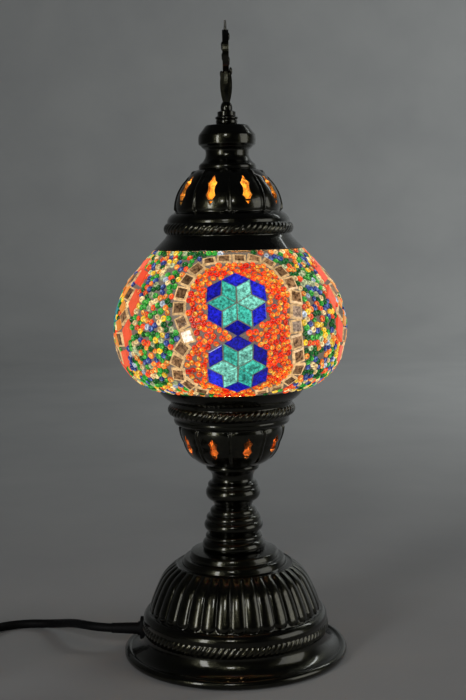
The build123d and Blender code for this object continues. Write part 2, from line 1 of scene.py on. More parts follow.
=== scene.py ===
"""Looks of the mosaic glass table lamp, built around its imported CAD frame.

Outlines and mosaic sizes are in millimetres, as on a drawing, and MM turns them into metres.
Azimuth is in degrees from the front (-Y), positive towards +X.
"""

import itertools
import math
import random

import bmesh
import bpy
import numpy as np
from mathutils import Matrix, Vector
from mathutils.kdtree import KDTree


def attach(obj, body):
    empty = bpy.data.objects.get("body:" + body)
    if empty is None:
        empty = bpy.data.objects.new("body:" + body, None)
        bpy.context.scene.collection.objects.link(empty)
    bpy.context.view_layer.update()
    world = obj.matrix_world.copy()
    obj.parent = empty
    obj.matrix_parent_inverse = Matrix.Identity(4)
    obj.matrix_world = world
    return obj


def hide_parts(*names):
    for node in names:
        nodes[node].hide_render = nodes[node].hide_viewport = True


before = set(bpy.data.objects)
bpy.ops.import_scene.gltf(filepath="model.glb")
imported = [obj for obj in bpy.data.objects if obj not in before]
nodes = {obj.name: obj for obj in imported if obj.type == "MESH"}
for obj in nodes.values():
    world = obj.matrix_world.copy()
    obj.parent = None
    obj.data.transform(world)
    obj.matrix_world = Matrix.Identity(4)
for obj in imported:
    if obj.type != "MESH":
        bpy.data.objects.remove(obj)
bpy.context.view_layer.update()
MM = 0.001
rng = random.Random(11)


# ---------------- outlines and meshes


def sampled(*steps, spacing=0.8):
    """Points along (radius, height) steps. A step of four numbers is an arc: a way point, its end."""
    points = [np.array(steps[0][-2:], float)]
    for step in steps[1:]:
        start, end = points[-1], np.array(step[-2:], float)
        if len(step) == 2:
            count = max(1, round(np.linalg.norm(end - start) / spacing))
            points += [start + (end - start) * k / count for k in range(1, count + 1)]
            continue
        way = np.array(step[:2], float)
        centre = circle_centre(start, way, end)
        radius = np.linalg.norm(start - centre)
        first, middle, last = [math.atan2(*(p - centre)[::-1]) for p in (start, way, end)]
        sweep = (last - first) % math.tau
        if (middle - first) % math.tau > sweep:
            sweep -= math.tau
        count = max(2, round(abs(sweep) * radius / spacing))
        angles = [first + sweep * k / count for k in range(1, count + 1)]
        points += [centre + radius * np.array([math.cos(a), math.sin(a)]) for a in angles]
    return points


def circle_centre(a, b, c):
    """Centre of the circle through three points."""
    sides = 2 * np.array([b - a, c - a])
    return np.linalg.solve(sides, [b @ b - a @ a, c @ c - a @ a])


def add_mesh(name, points, faces, materials, slots=None, smooth=True, **attributes):
    """A new mesh object. Points are in metres, and an attribute has one value or colour for each point."""
    mesh = bpy.data.meshes.new(name)
    mesh.from_pydata(np.asarray(points).tolist(), [], faces)
    for material in materials:
        mesh.materials.append(material)
    if slots is not None:
        mesh.polygons.foreach_set("material_index", slots)
    mesh.polygons.foreach_set("use_smooth", np.full(len(mesh.polygons), smooth))
    for key, values in attributes.items():
        values = np.asarray(values, np.float32)
        if values.ndim == 2:
            layer = mesh.attributes.new(key, "FLOAT_COLOR", "POINT")
            layer.data.foreach_set("color", values.ravel())
        else:
            mesh.attributes.new(key, "FLOAT", "POINT").data.foreach_set("value", values)
    mesh.validate()
    piece = bpy.data.objects.new(name, mesh)
    bpy.context.scene.collection.objects.link(piece)
    return piece


def quads_between(low, high, count):
    """Faces between two rings of count points each, which start at low and at high."""
    return [[low + j, low + (j + 1) % count, high + (j + 1) % count, high + j] for j in range(count)]


def lathe(name, outside, inside, around, materials, relief=None):
    """A turned shell: the outside runs upward and the inside back down, in millimetres.

    relief(radius, height, azimuth) gives how far the outside sinks, in millimetres, and how much lighter its
    crests are painted, partly for rubbing and partly as a painted highlight.
    A second material goes on the inside.
    """
    profile = np.array(list(outside) + list(inside))
    ahead, behind = np.roll(profile, -1, 0), np.roll(profile, 1, 0)
    along = ahead - behind
    along /= np.maximum(np.hypot(*along.T), 1e-9)[:, None]
    azimuth = np.arange(around) * 360 / around
    radius = np.repeat(profile[:, :1], around, 1)
    height = np.repeat(profile[:, 1:], around, 1)
    wear = np.zeros_like(radius)
    if relief:
        rows = len(outside)
        sink, rub_and_sheen = relief(radius[:rows], height[:rows], np.tile(azimuth, (rows, 1)))
        wear[:rows] = rub_and_sheen
        radius[:rows] -= sink * along[:rows, 1:]
        height[:rows] += sink * along[:rows, :1]
    angle = np.radians(azimuth)
    points = np.stack([radius * np.sin(angle), -radius * np.cos(angle), height], -1).reshape(-1, 3) * MM
    row = np.arange(len(profile))
    column = np.arange(around)
    here = row[:, None] * around + column
    right = row[:, None] * around + np.roll(column, -1)
    up = np.roll(row, -1)[:, None] * around
    faces = np.stack([here, right, up + np.roll(column, -1), up + column], -1).reshape(-1, 4)
    slots = np.repeat((row >= len(outside)).astype(int) * (len(materials) - 1), around)
    return add_mesh(name, points, faces.tolist(), materials, slots, wear=wear.ravel())


def flute(across, along):
    """Height from 0 to 1 of a rounded flute: across runs from -1 to 1, along from 0 at its rounded end."""
    end = np.clip(1 - along, 0, 1)
    return np.sqrt(np.clip(1 - across**2 - end**2, 0, 1))


def rope(height, azimuth, low, high, strands, slant):
    """How far a rope band's surface sinks between its strands, from 0 to 1, and where the band is."""
    middle = (low + high) / 2
    phase = strands * azimuth / 360 - slant * (height - middle)
    across = 2 * (phase - np.floor(phase)) - 1
    band = np.clip(1 - np.abs((height - middle) / (high - low) * 2) ** 6, 0, 1)
    return (1 - np.sqrt(np.clip(1 - across**2 * 0.96, 0, 1))) * band, band


def bump(distance, width):
    """A bell shape, 1 at its middle."""
    return np.exp(-((distance / width) ** 2))


# ---------------- materials


def linear(red, green, blue):
    """An 8-bit display colour as a linear one."""
    channels = [c / 255 for c in (red, green, blue)]
    return tuple(c / 12.92 if c <= 0.04045 else ((c + 0.055) / 1.055) ** 2.4 for c in channels) + (1.0,)


class Shader:
    """A Principled material under construction, with short ways to add the nodes that are used here."""

    def __init__(self, name, **values):
        self.material = bpy.data.materials.new(name)
        self.material.use_nodes = True
        self.tree = self.material.node_tree
        self.surface = self.tree.nodes["Principled BSDF"]
        for key, value in values.items():
            self.surface.inputs[key.replace("_", " ")].default_value = value
        self.place = self.tree.nodes.new("ShaderNodeTexCoord").outputs["Object"]

    def node(self, kind, links=(), **settings):
        made = self.tree.nodes.new("ShaderNode" + kind)
        for key, value in settings.items():
            setattr(made, key, value)
        for socket, source in dict(links).items():
            self.set(made.inputs[socket], source)
        return made

    def set(self, socket, source):
        if isinstance(source, bpy.types.NodeSocket):
            self.tree.links.new(source, socket)
        else:
            socket.default_value = source

    def noise(self, scale, detail=3.0, roughness=0.55, stretch=None):
        place = self.place
        if stretch:
            mapping = self.node("Mapping", {"Vector": place})
            mapping.inputs["Scale"].default_value = stretch
            place = mapping.outputs["Vector"]
        links = {"Vector": place, "Scale": scale, "Detail": detail, "Roughness": roughness}
        return self.node("TexNoise", links).outputs["Fac"]

    def ramp(self, source, *stops):
        """Colours or greys at places from 0 to 1."""
        ramp = self.node("ValToRGB", {"Fac": source})
        elements = ramp.color_ramp.elements
        while len(elements) < len(stops):
            elements.new(0.5)
        for element, (place, colour) in zip(elements, stops):
            element.position = place
            element.color = colour if isinstance(colour, tuple) else (colour, colour, colour, 1)
        return ramp.outputs["Color"]

    def mix(self, share, first, second, blend="MIX"):
        mix = self.node("Mix", data_type="RGBA", blend_type=blend)
        for socket, source in zip((mix.inputs[0], mix.inputs[6], mix.inputs[7]), (share, first, second)):
            self.set(socket, source)
        return mix.outputs[2]

    def math(self, operation, first, second=0.0):
        node = self.node("Math", operation=operation)
        self.set(node.inputs[0], first)
        self.set(node.inputs[1], second)
        return node.outputs[0]

    def attribute(self, name, output="Fac"):
        return self.node("Attribute", attribute_name=name).outputs[output]

    def bumpy(self, source, strength, depth):
        links = {"Height": source, "Strength": strength, "Distance": depth}
        self.to("Normal", self.node("Bump", links).outputs["Normal"])

    def to(self, socket, source):
        self.set(self.surface.inputs[socket], source)


def bronze():
    """Near-black lacquered casting with a hard gloss, and a little olive gold on the crests, partly from
    rubbing and partly a painted highlight.
    """
    s = Shader("bronze", Metallic=1.0, Coat_Weight=0.6, Coat_Roughness=0.08)
    patches = s.noise(55, 4)
    grain = s.noise(1400, 2, 0.7)
    # The olive gold goes on the marked crests: partly rubbing, partly a painted highlight.
    rubbed_and_sheen = s.math("MULTIPLY", s.attribute("wear"), s.ramp(s.noise(420, 3), (0.38, 0.0), (0.66, 0.8)))
    dark = s.ramp(patches, (0.3, (0.012, 0.012, 0.008, 1)), (0.7, (0.032, 0.031, 0.019, 1)))
    s.to("Base Color", s.mix(rubbed_and_sheen, dark, (0.110, 0.102, 0.058, 1)))
    s.to("Roughness", s.ramp(s.noise(300, 4), (0.3, 0.14), (0.7, 0.27)))
    s.bumpy(s.math("ADD", grain, s.noise(330, 3)), 0.22, 0.0004)
    return s.material


def raw_casting(name, low, high):
    """The bare, unlacquered inside of the cup or cap; its colours from low to high hold painted light and
    shade.
    """
    s = Shader(name, Metallic=0.3, Roughness=0.45)
    skin = s.noise(190, 4, stretch=(1, 1, 2.2))
    # The streaked ramp paints glints and dark bands over the casting's grain.
    s.to("Base Color", s.ramp(skin, (0.34, low), (0.56, high)))
    s.bumpy(skin, 0.4, 0.0004)
    return s.material


def lit_glass(name, glow, speckle, low, high, dark):
    """Coloured glass as if lit from behind, that light painted in as a glow of its own colour: its colour
    comes from the mesh, broken up by streaks and seeds.
    """
    s = Shader(name, IOR=1.75)
    tint = s.attribute("tint", "Color")
    streaks = s.ramp(s.noise(speckle, 4, 0.65), (low, dark), (high, 1.0))
    colour = s.mix(1.0, tint, streaks, "MULTIPLY")
    s.to("Base Color", s.mix(0.85, colour, (0.01, 0.01, 0.01, 1)))
    s.to("Emission Color", colour)
    s.to("Emission Strength", glow)
    s.to("Roughness", s.ramp(s.noise(700), (0.3, 0.03), (0.7, 0.09)))
    s.bumpy(s.noise(260, 2), 0.12, 0.0004)
    s.material.cycles.emission_sampling = "NONE"
    return s.material


def mirror_glass():
    """The flat middle of a bevelled clear tile: a blotched mirror, with the light from behind painted in as a
    brown glow whose strength is the glow attribute.
    """
    s = Shader("mirror_glass", Metallic=0.85)
    blots = s.noise(420, 5, 0.7)
    s.to("Base Color", s.ramp(blots, (0.35, (0.05, 0.035, 0.025, 1)), (0.65, (0.22, 0.19, 0.16, 1))))
    s.to("Emission Color", s.ramp(blots, (0.38, linear(64, 38, 20)), (0.66, linear(196, 146, 98))))
    s.to("Emission Strength", s.attribute("glow"))
    s.to("Roughness", s.ramp(s.noise(500), (0.3, 0.05), (0.7, 0.22)))
    s.material.cycles.emission_sampling = "NONE"
    return s.material


def grout_with_painted_glow():
    s = Shader("grout", Roughness=0.85)
    sand = s.noise(1300, 3)
    colour = s.ramp(sand, (0.3, linear(96, 92, 88)), (0.7, linear(142, 134, 126)))
    s.to("Base Color", colour)
    # Painted glow: the grout gives off its own colour, warmed, as light.
    s.to("Emission Color", s.mix(1.0, colour, (1.0, 0.86, 0.74, 1), "MULTIPLY"))
    s.to("Emission Strength", 0.55)
    s.bumpy(sand, 0.5, 0.0004)
    s.material.cycles.emission_sampling = "NONE"
    return s.material


def moulding(name, colour, rough, grain=900.0, gloss=0.35):
    """Moulded plastic or rubber with a fine spark-eroded skin."""
    s = Shader(name)
    s.set(s.surface.inputs["Specular IOR Level"], gloss)
    lighter = tuple(1.5 * c for c in colour[:3]) + (1,)
    s.to("Base Color", s.ramp(s.noise(90, 4), (0.3, colour), (0.75, lighter)))
    s.to("Roughness", s.ramp(s.noise(400), (0.3, rough), (0.7, rough + 0.16)))
    s.bumpy(s.noise(grain, 2), 0.15, 0.0002)
    return s.material


def metal(name, colour, rough):
    """Turned metal, with fine lines round its upright axis."""
    s = Shader(name, Metallic=1.0)
    lines = s.noise(500, 3, stretch=(1.0, 1.0, 14.0))
    s.to("Base Color", s.mix(lines, colour, tuple(0.6 * c for c in colour[:3]) + (1,)))
    s.to("Roughness", s.ramp(lines, (0.3, rough), (0.7, rough + 0.18)))
    return s.material


def felt():
    s = Shader("felt", Roughness=0.95)
    fibres = s.noise(2200, 4, 0.8)
    s.to("Base Color", s.ramp(fibres, (0.3, (0.010, 0.016, 0.012, 1)), (0.7, (0.035, 0.050, 0.040, 1))))
    s.bumpy(fibres, 0.8, 0.0006)
    return s.material


def fibre_board():
    s = Shader("fibre_board", Roughness=0.9)
    fibres = s.noise(900, 5, 0.7, stretch=(1, 4, 1))
    s.to("Base Color", s.ramp(fibres, (0.3, (0.10, 0.055, 0.028, 1)), (0.7, (0.21, 0.13, 0.07, 1))))
    s.bumpy(fibres, 0.4, 0.0003)
    return s.material


def porcelain():
    s = Shader("porcelain", Roughness=0.2)
    s.to("Base Color", s.ramp(s.noise(60, 4), (0.3, (0.62, 0.58, 0.50, 1)), (0.7, (0.78, 0.74, 0.66, 1))))
    s.to("Roughness", s.ramp(s.noise(350), (0.3, 0.14), (0.7, 0.3)))
    return s.material


def clear_glass():
    s = Shader("clear_glass", Roughness=0.03, IOR=1.5, Transmission_Weight=1.0)
    s.to("Base Color", s.ramp(s.noise(25, 3), (0.3, (0.93, 0.96, 0.93, 1)), (0.7, (0.99, 0.99, 0.97, 1))))
    s.bumpy(s.noise(40, 2), 0.1, 0.0004)
    return s.material


def hot_bulb():
    """Frosted bulb glass, burning warm."""
    s = Shader("hot_bulb", Roughness=0.4)
    s.to("Base Color", (0.8, 0.7, 0.55, 1))
    s.to("Emission Color", s.ramp(s.noise(30), (0.3, (1.0, 0.56, 0.20, 1)), (0.7, (1.0, 0.64, 0.28, 1))))
    s.to("Emission Strength", BULB_GLOW)
    return s.material


BULB_GLOW = 34.0
BRONZE = bronze()
# Two copies of one casting: the cap's painted bright as the bulb's light, the cup's painted darker as shade.
CAP_INSIDE_PAINTED_LIT = raw_casting("cap_inside_painted_lit", (0.30, 0.12, 0.015, 1), (0.96, 0.62, 0.13, 1))
CUP_INSIDE_PAINTED_DARK = raw_casting("cup_inside_painted_dark", (0.10, 0.025, 0.005, 1), (0.62, 0.24, 0.06, 1))
TILE_GLASS = lit_glass("tile_glass", 1.25, 520, 0.40, 0.62, 0.28)
PLAIN_GLASS = lit_glass("plain_glass", 0.95, 200, 0.25, 0.5, 0.8)
BEAD_GLASS = lit_glass("bead_glass", 1.3, 800, 0.36, 0.62, 0.35)
EDGE_GLASS = lit_glass("edge_glass", 1.0, 420, 0.34, 0.62, 0.4)
MIRROR = mirror_glass()
GLOWING_GROUT = grout_with_painted_glow()
BLACK_RUBBER = moulding("black_rubber", (0.003, 0.003, 0.0032, 1), 0.5, gloss=0.12)
BLACK_MOULDING = moulding("black_moulding", (0.016, 0.016, 0.017, 1), 0.26, 1500.0)
STEEL = metal("steel", (0.55, 0.55, 0.56, 1), 0.28)
BRASS = metal("brass", (0.66, 0.46, 0.17, 1), 0.22)


# ---------------- base


def base_relief(radius, height, azimuth):
    """Thirty-six flutes on the dome and a rope band under them, their crests painted lighter, partly for
    rubbing and partly as a painted highlight.
    """
    pitch = 10.0
    across = 2 * (((azimuth + 3.0) / pitch) % 1) - 1
    ribbed = (height > 33.3) & (height < 67.0) & (radius > 42.5)
    raised = flute(across, (height - 33.5) / 5.3)
    top = np.clip((67.4 - height) / 1.6, 0, 1)
    sink = np.where(ribbed, 1.7 * (1 - raised) * top, 0)
    rub_and_sheen = np.where(ribbed, 0.3 * raised**4, 0)
    twist, band = rope(height, azimuth, 17.2, 25.4, 98, 0.16)
    band = np.where(radius > 66.3, band, 0)
    sink = np.where(band > 0, 1.1 * twist, sink)
    return sink, np.maximum(rub_and_sheen, band * (1 - twist) * 0.75)


def base():
    outside = sampled(
        (74.4, 0.3),
        (78.0, 0.3),
        (81.5, 3.4, 77.6, 6.7),
        (76.4, 5.6),
        (69.8, 9.4, 66.6, 17.2),
        (68.2, 21.3, 66.9, 25.4),
        (66.9, 29.4, 63.1, 33.3),
        (58.3, 46.9, 53.9, 56.0),
        (49.2, 62.0, 42.5, 67.0),
        (41.2, 66.4),
        (38.0, 66.9),
        (37.4, 69.6, 36.2, 71.6),
        (32.6, 71.9),
        (32.2, 74.4, 31.2, 76.4),
        (24.5, 77.5),
        spacing=0.75,
    )
    inside = sampled(
        (5.3, 77.5),
        (5.3, 73.8),
        (28.8, 73.8),
        (28.8, 69.0),
        (33.0, 64.6),
        (49.0, 56.0, 54.5, 38.0),
        (57.4, 33.4),
        (61.6, 30.0, 62.4, 25.6),
        (62.4, 17.0),
        (66.4, 8.6, 72.8, 3.6),
        (72.8, 0.3),
        spacing=3.0,
    )
    casting = lathe("base_casting", outside, inside, 784, [BRONZE], base_relief)
    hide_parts("base_shell")
    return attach(casting, "stand")


# ---------------- stem


def stem():
    """The turned stem pieces and the cap's knob, with the crisp grooves that a lathe leaves."""
    foot = (
        (22.0, 77.6),
        (23.0, 81.2, 20.7, 85.0),
        (20.0, 85.3),
        (20.6, 87.5, 18.6, 89.5),
        (17.9, 90.0),
    )
    lower = (
        (17.9, 90.0),
        (18.9, 91.4),
        (21.4, 95.8, 19.8, 98.8),
        (19.3, 99.0),
        (19.7, 101.4, 17.2, 103.8),
        (16.8, 104.0),
        (16.9, 106.2, 14.6, 108.6),
        (13.6, 110.0),
    )
    upper = (
        (13.6, 110.0),
        (15.4, 113.4),
        (19.8, 118.6, 18.6, 123.0),
        (17.8, 123.5),
        (18.2, 125.6, 16.0, 127.6),
        (15.3, 128.4),
        (15.0, 131.4, 17.9, 136.2),
        (19.0, 137.2),
        (19.3, 138.6, 19.0, 140.0),
    )
    knob = (
        (20.2, 351.5),
        (20.4, 353.4, 19.4, 355.2),
        (18.5, 355.9),
        (15.7, 360.0, 15.6, 364.8),
        (17.8, 366.4),
        (18.4, 367.4),
        (20.1, 368.6),
        (20.4, 372.0, 20.0, 375.3),
        (15.4, 381.4),
        (14.6, 382.0),
    )
    for name, node, steps, body in (
        ("foot_turning", "stem_foot", foot, "stand"),
        ("lower_knop_turning", "stem_lower_knop", lower, "stand"),
        ("upper_knop_turning", "stem_upper_knop", upper, "stand"),
        ("knob_turning", "cap_knob", knob, "cap"),
    ):
        bottom, top = steps[0][-1], steps[-1][-1]
        bore = [(3.3 if body == "cap" else 5.2, z) for z in (top, bottom)]
        piece = lathe(name, sampled(*steps, spacing=0.35), bore, 240, [BRONZE])
        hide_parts(node)
        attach(piece, body)


# ---------------- cup and cap

LOBES = 9
# Half-outlines of a slot and of the loose tip under it: half width, and share of the height.
SLOT = (
    (0, 1.0),
    (1.0, 0.9),
    (1.7, 0.82),
    (3.4, 0.74),
    (2.4, 0.63),
    (2.2, 0.52),
    (2.4, 0.44),
    (3.5, 0.33),
    (2.0, 0.22),
    (1.6, 0.18),
)
SLOT_TIP = ((0, 0.0), (1.9, 0.13))


def lobe_relief(radius, height, azimuth, turn, low, high, upward):
    """Nine panels with scooped ends and a thin rib between two panels; the ribs and panel crests are painted
    lighter, partly for rubbing and partly as a painted highlight.
    """
    place = ((azimuth - turn) / (360 / LOBES) + 0.5) % 1 - 0.5
    from_rib = np.abs(place) * (2 * math.pi / LOBES) * radius
    across = 1 - 2 * np.abs(place)
    along = (height - low) if upward else (high - height)
    within = (height > low) & (height < high)
    panel = flute(across**2, along / 7.5)
    sink = 1.5 * (1 - panel)
    fade = np.clip(along / 2.0, 0, 1)
    rib = bump(from_rib, 1.0) * fade
    sink = sink * (1 - rib) - 0.35 * rib
    return np.where(within, sink, 0), np.where(within, np.maximum(0.5 * rib, 0.25 * panel**3), 0)


CUTTER_REACH = (14.0, 60.0)


def pierce(piece, low, high, turn):
    """Cuts the nine slots and their loose lower tips through a shell."""
    points, faces = [], []
    for k in range(LOBES):
        angle = math.radians(turn + (k + 0.5) * 360 / LOBES)
        across = np.array([math.cos(angle), math.sin(angle), 0])
        out = np.array([math.sin(angle), -math.cos(angle), 0])
        for half in (SLOT, SLOT_TIP):
            left = [(-x, share) for x, share in reversed(half) if x]
            ring = list(half) + left
            start = len(points)
            for reach in CUTTER_REACH:
                for x, share in ring:
                    up = np.array([0, 0, low + (high - low) * share])
                    points.append(across * x + out * reach + up)
            n = len(ring)
            faces += quads_between(start, start + n, n)
            faces += [list(range(start, start + n))[::-1], list(range(start + n, start + 2 * n))]
    materials = list(piece.data.materials)
    slots = [1] * len(faces)
    cutter = add_mesh("slot_cutter", np.array(points) * MM, faces, materials, slots, smooth=False)
    tidy_normals(cutter.data)
    cut = piece.modifiers.new("slots", "BOOLEAN")
    cut.operation, cut.solver, cut.object = "DIFFERENCE", "EXACT", cutter
    apply_modifiers(piece)
    bpy.data.objects.remove(cutter)


def tidy_normals(mesh):
    shape = bmesh.new()
    shape.from_mesh(mesh)
    bmesh.ops.recalc_face_normals(shape, faces=shape.faces)
    shape.to_mesh(mesh)
    shape.free()


def apply_modifiers(piece):
    evaluated = piece.evaluated_get(bpy.context.evaluated_depsgraph_get())
    made = bpy.data.meshes.new_from_object(evaluated)
    piece.modifiers.clear()
    piece.data = made


CUP_TURN = -2.0
CAP_TURN = 1.3


def cup_relief(radius, height, azimuth):
    sink, rub_and_sheen = lobe_relief(radius, height, azimuth, CUP_TURN, 144.5, 170.2, False)
    outer = radius > 27
    sink, rub_and_sheen = np.where(outer, sink, 0), np.where(outer, rub_and_sheen, 0)
    twist, band = rope(height, azimuth, 176.8, 184.4, 62, 0.2)
    band = np.where(radius > 43.0, band, 0)
    # The rope's strands are painted lighter, partly for rubbing and partly as a painted highlight.
    return np.where(band > 0, 1.1 * twist, sink), np.maximum(rub_and_sheen, 0.8 * band * (1 - twist))


def cup():
    outside = sampled(
        (19.0, 140.0),
        (30.4, 147.2, 35.0, 156.8),
        (37.6, 163.4, 38.4, 170.2),
        (41.0, 170.8),
        (41.8, 172.6, 41.6, 174.6),
        (42.9, 176.8),
        (46.1, 180.6, 43.6, 184.4),
        (44.3, 187.2),
        (48.4, 190.0, 53.4, 196.8),
        spacing=0.75,
    )
    inside = sampled(
        (51.6, 196.8),
        (46.9, 190.6, 42.2, 186.8),
        (40.4, 186.8),
        (40.4, 175.0),
        (36.0, 170.4),
        (34.6, 163.6, 31.6, 157.4),
        (27.6, 148.8, 19.0, 143.2),
        (5.3, 143.2),
        (5.3, 140.0),
        spacing=2.0,
    )
    piece = lathe("cup_casting", outside, inside, 540, [BRONZE, CUP_INSIDE_PAINTED_DARK], cup_relief)
    pierce(piece, 148.6, 164.4, CUP_TURN)
    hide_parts("lower_cup")
    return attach(piece, "stand")


def cap_relief(radius, height, azimuth):
    sink, rub_and_sheen = lobe_relief(radius, height, azimuth, CAP_TURN, 321.2, 345.5, True)
    place = ((azimuth - CAP_TURN) / (360 / LOBES) + 0.5) % 1 - 0.5
    from_boss = np.hypot(place * math.tau / LOBES * radius, (height - 349.0) * 1.3)
    boss = np.where(height > 338, bump(from_boss, 1.5), 0)
    sink = sink * (1 - boss) - 1.0 * boss
    # The bosses and the rope's strands are painted lighter, partly for rubbing and partly as a painted
    # highlight.
    rub_and_sheen = np.maximum(rub_and_sheen, 0.7 * boss)
    twist, band = rope(height, azimuth, 305.8, 314.0, 63, 0.2)
    band = np.where(radius > 43.2, band, 0)
    return np.where(band > 0, 1.1 * twist, sink), np.maximum(rub_and_sheen, 0.8 * band * (1 - twist))


def cap():
    outside = sampled(
        (53.2, 295.4),
        (49.2, 299.4, 45.2, 303.6),
        (43.8, 305.8),
        (46.2, 310.0, 43.6, 314.0),
        (43.4, 316.0),
        (42.0, 318.4, 38.6, 321.0),
        (36.8, 333.0, 29.9, 343.7),
        (25.6, 348.4, 20.3, 351.5),
        spacing=0.75,
    )
    inside = sampled(
        (3.3, 351.5),
        (3.3, 349.4),
        (19.0, 349.4),
        (23.2, 346.6, 26.6, 342.6),
        (32.8, 332.4, 34.6, 321.0),
        (41.2, 316.0),
        (42.2, 305.4),
        (43.4, 303.2),
        (47.4, 299.2, 51.6, 295.4),
        spacing=2.0,
    )
    piece = lathe("cap_casting", outside, inside, 540, [BRONZE, CAP_INSIDE_PAINTED_LIT], cap_relief)
    pierce(piece, 326.2, 346.4, CAP_TURN)
    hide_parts("cap_shell")
    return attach(piece, "cap")


# Middle and half sizes of the small buds on one half of the finial's open leaf, in millimetres.
FINIAL_BUDS = (
    ((-1.9, 7.6, 436.6), (1.3, 1.9, 2.3)),
    ((1.9, 4.2, 443.2), (1.3, 1.7, 2.2)),
    ((1.8, 6.2, 426.4), (1.2, 1.7, 2.6)),
    ((-1.8, 6.2, 429.4), (1.1, 1.6, 2.2)),
    ((3.4, 0.0, 419.4), (1.2, 1.3, 2.8)),
    ((-3.2, 0.0, 417.4), (1.2, 1.3, 2.4)),
)


def finial_buds():
    """Small egg-shaped buds, the same on both halves of the finial's leaf."""
    buds = []
    for (x, y, z), halves in FINIAL_BUDS:
        buds += [((x, side * y, z), halves) for side in ((1, -1) if y else (1,))]
    points, faces = [], []
    rings, around = 9, 14
    for middle, halves in buds:
        start = len(points)
        for j in range(rings):
            polar = math.pi * (j + 0.5) / rings
            for k in range(around):
                turn = math.tau * k / around
                out = (math.sin(polar) * math.cos(turn), math.sin(polar) * math.sin(turn), math.cos(polar))
                points.append([(m + h * o) * MM for m, h, o in zip(middle, halves, out)])
        for j in range(rings - 1):
            row = start + j * around
            for k in range(around):
                beside = (k + 1) % around
                faces.append([row + k, row + around + k, row + around + beside, row + beside])
        last = start + (rings - 1) * around
        faces.append(list(range(start, start + around)))
        faces.append(list(range(last, last + around))[::-1])
    piece = add_mesh("finial_buds", points, faces, [BRONZE])
    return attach(piece, "cap")


# ---------------- mosaic

GLOBE = np.array(
    sampled(
        (56.0, 197.0),
        (73.6, 209.0, 81.1, 226.0),
        (83.0, 237.0, 81.2, 251.5),
        (75.8, 266.8, 66.7, 280.0),
        (59.6, 287.6, 53.0, 294.8),
        spacing=0.4,
    )
)
GLOBE_ALONG = np.concatenate([[0], np.cumsum(np.hypot(*np.diff(GLOBE, axis=0).T))])
TILE_DEPTH = 1.5
PANEL = 3.5  # azimuth of the front panel's middle line


def radius_at(height):
    return np.interp(height, GLOBE[:, 1], GLOBE[:, 0])


def along_at(height):
    """Length along the globe's side from its lowest edge."""
    return np.interp(height, GLOBE[:, 1], GLOBE_ALONG)


def walked(azimuth, height, across, up):
    """The azimuth and height reached by going across and up the globe, in millimetres."""
    new_height = float(np.interp(along_at(height) + up, GLOBE_ALONG, GLOBE[:, 1]))
    return azimuth + math.degrees(across / radius_at(new_height)), new_height


def frame_on_globe(azimuth, height):
    """Origin and (across, up, out) directions on the mosaic's surface."""
    a = math.radians(azimuth)
    slope = (radius_at(height + 0.8) - radius_at(height - 0.8)) / 1.6
    across = np.array([math.cos(a), math.sin(a), 0])
    up = np.array([slope * math.sin(a), -slope * math.cos(a), 1.0])
    up /= np.linalg.norm(up)
    r = radius_at(height)
    origin = np.array([r * math.sin(a), -r * math.cos(a), height])
    return origin, across, up, np.cross(across, up)


